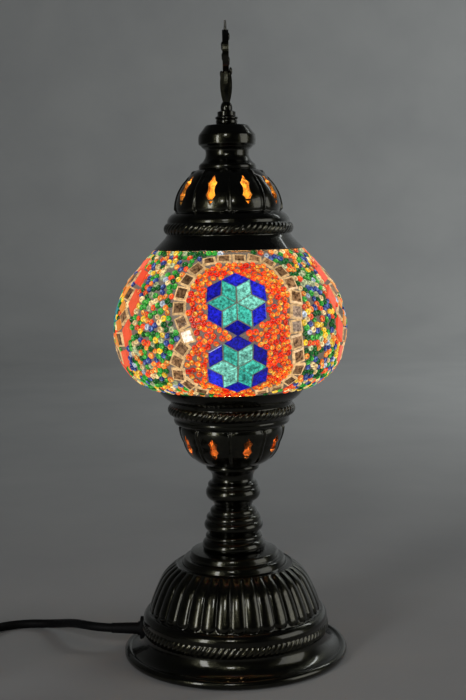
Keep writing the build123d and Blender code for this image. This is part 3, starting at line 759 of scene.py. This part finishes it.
class Mosaic:
    """Many tiles or beads gathered into one mesh."""

    def __init__(self, name, node, slot):
        self.name, self.node, self.slot = name, node, slot
        self.points, self.faces, self.slots, self.tints, self.glows = [], [], [], [], []

    def tile(
        self, azimuth, height, corners, face_tint, edge_tint, bevel,
        lift=0.0, glow=0.6, tilt=1.2, middle_slot=0, heart=None,
    ):
        """A bevelled flat tile. Corners are (across, up) in millimetres, anticlockwise, around its middle.

        tilt is the most that it leans at random, in degrees, and heart a colour for the middle of its face.
        """
        origin, across, up, out = frame_on_globe(azimuth, height)
        lean_across = math.radians(rng.uniform(-tilt, tilt))
        lean_up = math.radians(rng.uniform(-tilt, tilt))
        out = out + across * lean_across + up * lean_up
        out /= np.linalg.norm(out)
        across = np.cross(up, out)
        across /= np.linalg.norm(across)
        up = np.cross(out, across)
        corners = np.array(corners, float)
        centre = corners.mean(0)
        size = np.linalg.norm(corners - centre, axis=1).mean()
        inner = centre + (corners - centre) * (1 - 1.3 * bevel / size)
        n = len(corners)
        start = len(self.points)
        levels = ((corners, -TILE_DEPTH), (corners, lift - bevel * 0.35), (inner, lift), (inner, lift))
        for ring, height_above in levels:
            self.points += [origin + across * x + up * y + out * height_above for x, y in ring]
        self.tints += [edge_tint] * (3 * n) + [face_tint] * n
        self.glows += [glow] * (4 * n)
        for level in (0, 1):
            low, high = start + level * n, start + (level + 1) * n
            self.faces += quads_between(low, high, n)
            self.slots += [0] * n
        rim = [start + 3 * n + j for j in range(n)]
        if heart is None:
            self.faces.append(rim)
            self.slots.append(middle_slot)
            return
        self.points.append(origin + across * centre[0] + up * centre[1] + out * lift)
        self.tints.append(heart)
        self.glows.append(glow)
        self.faces += [[rim[j], rim[(j + 1) % n], start + 4 * n] for j in range(n)]
        self.slots += [middle_slot] * n

    def bead(self, azimuth, height, radius, tint, core, lean, squash):
        """A seed bead with its hole outward, or lying on its side where squash is under one."""
        origin, across, up, out = frame_on_globe(azimuth, height)
        c, s = math.cos(lean), math.sin(lean)
        across, up = across * c + up * s, up * c - across * s
        # Each ring: radius and height in shares of the bead, and a brightness that paints shade on the bead's
        # sides and a highlight on its crown.
        rings = (
            (1.0, -0.55, 0.42),
            (1.0, 0.1, 0.66),
            (0.86, 0.38, 1.0),
            (0.62, 0.46, 1.15),
            (0.40, 0.34, 0.8),
            (0.26, 0.12, 0.5),
        )
        sides = 10
        start = len(self.points)
        # A painted glint in the hole's colour, on one random side of the crown.
        bright = rng.uniform(0, math.tau)
        for level, (r, h, shade) in enumerate(rings):
            through = 0.0 if level < 3 else 0.14
            for j in range(sides):
                a = math.tau * j / sides
                lit = max(0.0, math.cos(a - bright)) ** 3 * (0.75 if 1 < level < 5 else 0.0)
                share = min(1.0, through + lit)
                colour = [(t * (1 - share) + k * share) * shade for t, k in zip(tint, core)]
                offset = across * math.cos(a) * r * radius + up * math.sin(a) * r * radius * squash
                self.points.append(origin + offset + out * (h * radius * 0.9 - 0.35))
                self.tints.append(colour)
        self.points.append(origin + out * (-0.35))
        self.tints.append(core)
        self.glows += [1.0] * (len(rings) * sides + 1)
        for level in range(len(rings) - 1):
            low, high = start + level * sides, start + (level + 1) * sides
            self.faces += quads_between(low, high, sides)
        last, tip = start + (len(rings) - 1) * sides, start + len(rings) * sides
        self.faces += [[last + j, last + (j + 1) % sides, tip] for j in range(sides)]
        self.slots += [0] * (len(rings) * sides)

    def build(self, materials, smooth=False):
        points = np.array(self.points) * MM
        tints = np.array([list(t)[:3] + [1.0] for t in self.tints])
        layers = {"tint": tints, "glow": self.glows}
        piece = add_mesh(self.name, points, self.faces, materials, self.slots, smooth, **layers)
        if self.node:
            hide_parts(self.node)
        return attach(piece, "globe")


TURQUOISE = [linear(74, 204, 180), linear(96, 220, 196), linear(60, 186, 166), linear(140, 232, 208)]
COBALT = [linear(26, 28, 190), linear(38, 44, 216), linear(20, 20, 160)]
CREAM = linear(244, 198, 138)
RED = [linear(255, 82, 46), linear(250, 96, 60), linear(255, 72, 38)]
AMBER = [linear(226, 128, 44), linear(240, 148, 60)]
TEAL = [linear(30, 104, 112), linear(44, 132, 136)]


def varied(colour, spread=0.15):
    share = 1 + rng.uniform(-spread, spread)
    return tuple(c * share for c in colour[:3])


ROSETTE_HEIGHTS = (262.4, 219.4)
ROSETTE_SIDE = 11.4
JOINT = 0.9


def rhombus(tip_angle, outer):
    """A rhombus of the twelve-piece rosette. Inner ones meet at the middle, outer ones lie between them."""
    side = ROSETTE_SIDE

    def ray(angle, reach):
        return np.array([math.cos(math.radians(angle)), math.sin(math.radians(angle))]) * reach

    if outer:
        reach = 2 * side * math.cos(math.radians(30))
        near, far = ray(tip_angle, side), ray(tip_angle, 2 * side)
        corners = [near, ray(tip_angle - 30, reach), far, ray(tip_angle + 30, reach)]
    else:
        low, high = ray(tip_angle - 30, side), ray(tip_angle + 30, side)
        corners = [np.zeros(2), low, low + high, high]
    middle = sum(corners) / 4
    shrink = 1 - JOINT / (side * math.sin(math.radians(60)))
    return middle, [(c - middle) * shrink for c in corners]


def rosettes(panel, turquoise, cobalt):
    """Two twelve-piece rosettes, one above the other. The lower one's turquoise pieces have darker hearts."""
    for height in ROSETTE_HEIGHTS:
        turquoise_heart = 0.35 if height < 240 else 0.75
        for k in range(6):
            pair = (
                (turquoise, TURQUOISE, 60 * k, False, turquoise_heart),
                (cobalt, COBALT, 60 * k + 30, True, 1.3),
            )
            for batch, tints, angle, outer, heart_share in pair:
                (across, up), corners = rhombus(angle, outer)
                place = walked(panel, height, across, up)
                tint = varied(rng.choice(tints))
                edge = [c * 0.7 for c in tint]
                heart = [c * heart_share for c in tint]
                batch.tile(*place, corners, tint, edge, 0.5, lift=0.15, tilt=0.8, heart=heart)


# Outline of the rosette panels' border: azimuth from the middle line, and height, clockwise from the top.
BORDER = (
    (0, 290.3), (12, 290.3), (21, 288.2), (27.5, 283), (30.5, 275), (31.6, 266), (30.2, 257), (28.6, 248),
    (28.4, 238), (30, 228), (31.8, 219), (31.4, 211), (25, 203.4), (12, 200.2), (0, 200),
    (-12, 200.2), (-24, 204), (-30.2, 213), (-30, 222), (-27, 231), (-22.6, 238), (-24.6, 246),
    (-28.4, 255), (-28.6, 266), (-27.6, 275), (-24.4, 283), (-18, 288.6), (-10, 290.3),
)
BORDER_PITCH = 10.3


def border_tiles(panel, batch):
    """Bevelled mirror tiles side by side along the border, but none low in the middle, where beads are."""
    line = BORDER + BORDER[:1]
    steps = []
    for (azimuth, height), (next_azimuth, next_height) in zip(line, line[1:]):
        radius = radius_at((height + next_height) / 2)
        rise = along_at(next_height) - along_at(height)
        steps.append(math.hypot(math.radians(next_azimuth - azimuth) * radius, rise))
    reach = np.concatenate([[0], np.cumsum(steps)])

    def on_line(distance):
        return [float(np.interp(distance, reach, [point[axis] for point in line])) for axis in (0, 1)]

    count = round(reach[-1] / BORDER_PITCH)
    for k in range(count):
        here = reach[-1] * (k + 0.35) / count
        azimuth, height = on_line(here)
        ahead_azimuth, ahead_height = on_line((here + 3) % reach[-1])
        forward = math.radians(ahead_azimuth - azimuth) * radius_at(height)
        rise = along_at(ahead_height) - along_at(height)
        lean = math.atan2(rise, forward) + math.radians(rng.uniform(-5, 5))
        if abs(azimuth) < 13 and height < 203:
            continue
        deep = 3.3 if height > 286 or height < 206 else 4.7
        wide = 4.75 + rng.uniform(-0.3, 0.15)
        corners = []
        for side, end in ((-wide, -deep), (wide, -deep), (wide, deep), (-wide, deep)):
            x = side + rng.uniform(-0.35, 0.35)
            y = end + rng.uniform(-0.35, 0.35)
            corners.append((x * math.cos(lean) - y * math.sin(lean), x * math.sin(lean) + y * math.cos(lean)))
        edge = varied(CREAM, 0.2)
        # glow: strength of this mirror tile's painted backlight, random from tile to tile.
        glow = rng.uniform(0.35, 1.0)
        place = (panel + azimuth, height)
        batch.tile(*place, corners, CREAM, edge, 1.35, lift=0.5, glow=glow, tilt=2.5, middle_slot=1)


def diamond(length, width, angle):
    c, s = math.cos(angle), math.sin(angle)
    corners = ((-length / 2, 0), (0, -width / 2), (length / 2, 0), (0, width / 2))
    return [(x * c - y * s, x * s + y * c) for x, y in corners]


STAR_HEIGHT = 251.0


def star_panel(panel, red, clear, amber, teal):
    """Twelve-pointed star of the side panels: teal heart, amber and clear diamonds, a ring of red ones."""
    for k in range(12):
        spoke = math.radians(30 * k)
        between = spoke + math.radians(15)
        rings = (
            (red, RED, 42.0, between, between + math.pi / 2, 20.0, 13.5),
            (amber, AMBER, 25.0, between, between, 13.0, 9.0),
            (teal, TEAL, 10.2, between, between, 16.0, 5.0),
        )
        for batch, tints, reach, place_angle, turn, length, width in rings:
            place = walked(panel, STAR_HEIGHT, reach * math.cos(place_angle), reach * math.sin(place_angle))
            if 203 < place[1] < 289.5:
                tint = varied(rng.choice(tints), 0.08)
                edge = [c * 0.85 for c in tint]
                batch.tile(*place, diamond(length, width, turn), tint, edge, 0.6, lift=0.3)
        place = walked(panel, STAR_HEIGHT, 32.5 * math.cos(spoke), 32.5 * math.sin(spoke))
        edge = varied(CREAM)
        # glow: strength of this mirror tile's painted backlight, random from tile to tile.
        glow = rng.uniform(0.3, 0.8)
        clear.tile(*place, diamond(17.0, 12.5, spoke), CREAM, edge, 1.2, lift=0.4, glow=glow, middle_slot=1)


# Colour of the glass, colour seen in the hole, and how often it comes up.
RED_BEADS = (
    (linear(255, 66, 6), linear(255, 206, 60), 5),
    (linear(255, 98, 10), linear(255, 228, 90), 4),
    (linear(252, 40, 6), linear(255, 150, 34), 4),
    (linear(222, 16, 4), linear(250, 74, 10), 2),
)
MIXED_BEADS = (
    (linear(18, 136, 36), linear(120, 226, 96), 6),
    (linear(8, 72, 24), linear(30, 130, 44), 7),
    (linear(30, 46, 118), linear(120, 150, 214), 5),
    (linear(255, 120, 30), linear(255, 230, 120), 5),
    (linear(248, 62, 26), linear(255, 160, 70), 4),
    (linear(255, 226, 160), linear(190, 120, 56), 4),
    (linear(255, 196, 24), linear(255, 240, 130), 3),
    (linear(190, 200, 150), linear(96, 110, 70), 2),
    (linear(196, 206, 216), linear(110, 124, 150), 1),
)


def inside_border(azimuth, height):
    """True within the border of the front or back panel."""
    for panel in (PANEL, PANEL + 180):
        a = (azimuth - panel + 180) % 360 - 180
        hit = False
        for (a0, h0), (a1, h1) in zip(BORDER, BORDER[1:] + BORDER[:1]):
            if (h0 > height) != (h1 > height) and a < a0 + (a1 - a0) * (height - h0) / (h1 - h0):
                hit = not hit
        if hit:
            return True
    return False


BEAD_PITCH = 4.1
PUSH_ROUNDS = 16
TILE_CLEARANCE = 2.3
LEAST_CLEARANCE = 1.85
MISSING_BEADS = 0.04


def seed_beads(batches, red, mixed):
    """Beads close together over all the grout that the tiles leave: scattered, then pushed apart evenly."""
    taken = []
    for batch in batches:
        for face in batch.faces:
            corners = np.array([batch.points[j] for j in face])
            middle = corners.mean(0)
            for share in (0.0, 0.35, 0.7, 1.0):
                halfway = (corners + np.roll(corners, 1, 0)) / 2
                taken += [middle + (point - middle) * share for point in corners]
                taken += [middle + (point - middle) * share for point in halfway]
    tiles = nearness(taken)
    beads = scattered(tiles)
    for _ in range(PUSH_ROUNDS):
        beads = [on_globe(p) for p in pushed_apart(beads, tiles)]
    kept = nearness(beads)
    gone = set()
    for index, point in enumerate(beads):
        close = [j for _, j, gap in kept.find_range(point, 0.8 * BEAD_PITCH) if j != index and j not in gone]
        if close or tiles.find(point)[2] < LEAST_CLEARANCE:
            gone.add(index)
            continue
        azimuth, height = math.degrees(math.atan2(point[0], -point[1])), point[2]
        inner = inside_border(azimuth, max(height, 201.0))
        if not inner and rng.random() < MISSING_BEADS:
            continue
        choices = RED_BEADS if inner else MIXED_BEADS
        tint, core, _ = rng.choices(choices, [c[2] for c in choices])[0]
        squash = 0.78 if rng.random() < 0.35 else 1.0
        batch = red if inner else mixed
        radius = rng.uniform(1.95, 2.3)
        glass, hole = varied(tint, 0.3), varied(core, 0.2)
        batch.bead(azimuth, height, radius, glass, hole, rng.uniform(0, math.pi), squash)


def nearness(points):
    tree = KDTree(len(points))
    for index, point in enumerate(points):
        tree.insert(point, index)
    tree.balance()
    return tree


def on_globe(point):
    height = min(max(point[2], 198.4), 293.9)
    radius = radius_at(height) / math.hypot(point[0], point[1])
    return Vector((point[0] * radius, point[1] * radius, height))


def scattered(tiles):
    """Random places at least three quarters of a pitch apart, clear of the tiles."""
    cell, grid, places = 4.0, {}, []
    share = np.cumsum(GLOBE[1:, 0])
    share /= share[-1]
    for _ in range(60000):
        height = float(GLOBE[int(np.searchsorted(share, rng.random())), 1])
        place = Vector(frame_on_globe(rng.uniform(0, 360), height)[0])
        key = [int(math.floor(c / cell)) for c in place]
        cells = itertools.product(*[(c - 1, c, c + 1) for c in key])
        if any((place - other).length < 0.78 * BEAD_PITCH for c in cells for other in grid.get(c, ())):
            continue
        if tiles.find(place)[2] > 1.5:
            grid.setdefault(tuple(key), []).append(place)
            places.append(place)
    return places


def pushed_apart(beads, tiles):
    """The beads' places after one push away from near beads and tiles."""
    tree = nearness(beads)
    for index, point in enumerate(beads):
        push = Vector()
        for other, j, gap in tree.find_range(point, BEAD_PITCH):
            if j != index:
                push += (point - other) * (0.35 * (BEAD_PITCH - gap) / max(gap, 0.01))
        tile, _, gap = tiles.find(point)
        if gap < TILE_CLEARANCE:
            push += (point - tile) * (0.9 * (TILE_CLEARANCE - gap) / max(gap, 0.01))
        yield point + push


def mosaic():
    turquoise = Mosaic("turquoise_rhombi", "rosette_turquoise_tiles", "turquoise_glass")
    cobalt = Mosaic("cobalt_rhombi", "rosette_cobalt_tiles", "cobalt_glass")
    border = Mosaic("border_mirrors", "clear_border_tiles", "clear_tile")
    red = Mosaic("red_diamonds", "red_diamond_tiles", "red_glass")
    clear = Mosaic("star_mirrors", "clear_star_tiles", "clear_tile")
    amber = Mosaic("amber_diamonds", "amber_diamond_tiles", "amber_glass")
    teal = Mosaic("teal_hearts", "teal_heart_tiles", "teal_glass")
    for panel in (PANEL, PANEL + 180):
        rosettes(panel, turquoise, cobalt)
        border_tiles(panel, border)
    for panel in (PANEL + 90, PANEL - 90):
        star_panel(panel, red, clear, amber, teal)
    red_beads = Mosaic("red_seed_beads", None, "red_glass")
    mixed_beads = Mosaic("mixed_seed_beads", None, "clear_tile")
    seed_beads([turquoise, cobalt, border, red, clear, amber, teal], red_beads, mixed_beads)
    for batch in (turquoise, cobalt):
        batch.build([TILE_GLASS])
    for batch in (red, amber, teal):
        batch.build([PLAIN_GLASS])
    for batch in (border, clear):
        batch.build([EDGE_GLASS, MIRROR])
    for batch in (red_beads, mixed_beads):
        batch.build([BEAD_GLASS], smooth=True)
    bed()


def bed():
    """The grout that the mosaic lies in, a little uneven."""
    outer = [(r - 0.9, z) for r, z in GLOBE if 197.2 < z < 294.6]
    inner = [(r - 2.2, z) for r, z in GLOBE[::-6] if 197.2 < z < 294.6]

    def uneven(radius, height, azimuth):
        wave = np.sin(azimuth * 0.9 + height) * np.sin(height * 0.7 + azimuth * 0.31)
        return 0.12 * wave, np.zeros_like(radius)

    piece = lathe("grout_bed", outer[::2], inner, 360, [GLOWING_GROUT], uneven)
    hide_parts("mosaic_grout")
    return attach(piece, "globe")


# ---------------- cord

CORD = 6.5
GLAND_NOSE = (-91.65, 8.02, 15.6)
LEAD_ROUTE = (
    (-102.5, 10.0, 15.7),
    (-113.0, 17.0, 15.3),
    (-124.5, 31.5, 12.0),
    (-136.0, 45.5, 7.0),
    (-148.0, 54.5, 4.0),
    (-162.0, 57.5, 3.3),
    (-175.5, 54.5, 3.3),
    (-187.5, 45.0, 4.2),
)
SWITCH_AT = (-218.0, 5.9)
HEADING = math.radians(231)
COIL_R = 37.0
JOINS_COIL = 72.0
TURNS = 6


def on_switch(along, height):
    """A point on the switch's long axis."""
    return (SWITCH_AT[0] + along * math.cos(HEADING), SWITCH_AT[1] + along * math.sin(HEADING), height)


def coil_turns():
    """Two layers of three turns: inward on the table, then outward on top."""
    entry = Vector(on_switch(JOINS_COIL, 0))
    aside = HEADING + math.pi / 2
    middle = entry + Vector((math.cos(aside), math.sin(aside), 0)) * (COIL_R + CORD)
    per_turn = 14
    points = []
    for k in range(TURNS * per_turn + 1):
        turn = k / per_turn
        step = turn if turn <= TURNS / 2 else TURNS - turn
        radius = COIL_R + CORD - 2 * CORD * min(1, step / (TURNS / 2 - 0.6))
        rise = min(1, max(0, (turn - TURNS / 2 + 0.5) / 0.9))
        height = 3.3 + 6.5 * rise
        angle = aside + math.pi + math.tau * turn
        points.append((middle.x + radius * math.cos(angle), middle.y + radius * math.sin(angle), height))
    return points


def cord():
    points = [GLAND_NOSE, *LEAD_ROUTE]
    points += [on_switch(-31, 7.0), on_switch(-16, 4.6), on_switch(16, 4.6), on_switch(31, 7.0)]
    points += [on_switch(41, 4.7), on_switch(50, 3.4), on_switch(61, 3.3)]
    points += coil_turns()
    points += [on_switch(84, 9.8), on_switch(97, 9.2), on_switch(102, 8.1), on_switch(108, 7.2)]
    curve = bpy.data.curves.new("flex", "CURVE")
    curve.dimensions = "3D"
    spline = curve.splines.new("NURBS")
    spline.points.add(len(points) - 1)
    for target, point in zip(spline.points, points):
        target.co = (*[c * MM for c in point], 1)
    spline.order_u = 3
    spline.use_endpoint_u = True
    spline.resolution_u = 5
    curve.bevel_depth = CORD / 2 * MM
    curve.bevel_resolution = 5
    curve.use_fill_caps = True
    curve.materials.append(BLACK_RUBBER)
    flex = bpy.data.objects.new("flex", curve)
    bpy.context.scene.collection.objects.link(flex)
    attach(flex, "stand")
    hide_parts("cord_lead", "cord_link", "cord_tail", "cord_coil")


# ---------------- finishes of the CAD nodes


def finish_cad():
    finishes = {
        BRONZE: ("finial_ball", "finial_ornament"),
        STEEL: (
            *("threaded_tube", "tube_washer_lower", "tube_nut_lower", "tube_washer_upper", "tube_nut_upper"),
            *("finial_stud", "stud_washer", "stud_nut", "lampholder_screws", "switch_screws"),
        ),
        BRASS: (
            *("lampholder_thread", "lampholder_contact", "bulb_contact", "bulb_screw_shell"),
            *("switch_contacts", "plug_pins"),
        ),
        BLACK_RUBBER: ("cord_gland", "globe_seat_ring", "cap_seat_ring"),
        BLACK_MOULDING: (
            *("switch_base", "switch_cover", "switch_rocker", "plug_body"),
            *("lampholder_skirt", "lampholder_body", "bulb_insulator"),
        ),
        porcelain(): ("lampholder_insert",),
        felt(): ("felt_pad",),
        fibre_board(): ("bottom_cover",),
        clear_glass(): ("glass_globe",),
        hot_bulb(): ("bulb_glass", "bulb_filament"),
        moulding("insulation_brown", (0.10, 0.035, 0.012, 1), 0.4): ("conductor_live",),
        moulding("insulation_blue", (0.010, 0.030, 0.120, 1), 0.4): ("conductor_neutral",),
    }
    for material, names in finishes.items():
        for name in names:
            mesh = nodes[name].data
            mesh.materials.clear()
            mesh.materials.append(material)


# ---------------- floor, lights and camera


def sweep():
    """A plain grey floor that curves up into a round wall."""
    profile = sampled((0.1, 0), (1900, 0), (2560, 273, 2833, 933), (2833, 3600), spacing=60)
    around = 96
    points, faces = [], []
    for r, z in profile:
        for k in range(around):
            a = math.tau * k / around
            points.append((r * math.cos(a) * MM, r * math.sin(a) * MM, z * MM))
    for j in range(len(profile) - 1):
        faces += quads_between(j * around, (j + 1) * around, around)
    s = Shader("paper", Roughness=0.9)
    s.to("Base Color", s.ramp(s.noise(6, 3), (0.3, (0.36, 0.36, 0.36, 1)), (0.7, (0.40, 0.40, 0.395, 1))))
    floor = add_mesh("studio_sweep", points, faces, [s.material])


def area_light(name, place, target, width, height, power, colour=(1, 1, 1)):
    """A light that the camera doesn't see, facing a target."""
    light = bpy.data.lights.new(name, "AREA")
    light.shape, light.size, light.size_y = "RECTANGLE", width, height
    light.energy, light.color = power, colour
    lamp = bpy.data.objects.new(name, light)
    lamp.location = place
    lamp.rotation_euler = (place - target).to_track_quat("Z", "Y").to_euler()
    lamp.visible_camera = False
    bpy.context.scene.collection.objects.link(lamp)


def softbox(name, azimuth, elevation, distance, width, height, power):
    """An area light at an azimuth round the lamp, facing its globe."""
    globe = Vector((0, 0, 0.22))
    a, e = math.radians(azimuth), math.radians(elevation)
    out = Vector((math.sin(a) * math.cos(e), -math.cos(a) * math.cos(e), math.sin(e)))
    area_light(name, globe + out * distance, globe, width, height, power)


def lights():
    softbox("left_strip", -38, 8, 1.5, 0.24, 0.9, 6.0)
    softbox("right_bank", 72, 10, 1.5, 0.9, 1.0, 5.0)
    softbox("front_small", -6, 27, 1.4, 0.2, 0.16, 1.5)
    above, far_floor = Vector((1.3, 1.0, 1.3)), Vector((0.9, 2.5, 0.0))
    area_light("wall_wash", above, far_floor, 1.0, 0.7, 18.5, (0.95, 1.0, 1.0))
    world = bpy.data.worlds.new("room")
    world.use_nodes = True
    world.node_tree.nodes["Background"].inputs["Color"].default_value = (0.9, 0.95, 1.0, 1)
    world.node_tree.nodes["Background"].inputs["Strength"].default_value = 0.032
    bpy.context.scene.world = world


def camera():
    data = bpy.data.cameras.new("camera")
    data.lens = 63.5
    eye = bpy.data.objects.new("camera", data)
    pitch, roll = math.radians(90 - 6.27), math.radians(-0.97)
    place = Matrix.Translation((0.0017, -0.882, 0.3196))
    eye.matrix_world = place @ Matrix.Rotation(pitch, 4, "X") @ Matrix.Rotation(roll, 4, "Z")
    bpy.context.scene.collection.objects.link(eye)
    bpy.context.scene.camera = eye


bpy.context.scene.view_settings.view_transform = "Standard"
base()
stem()
cup()
cap()
finial_buds()
mosaic()
cord()
finish_cad()
sweep()
lights()
camera()
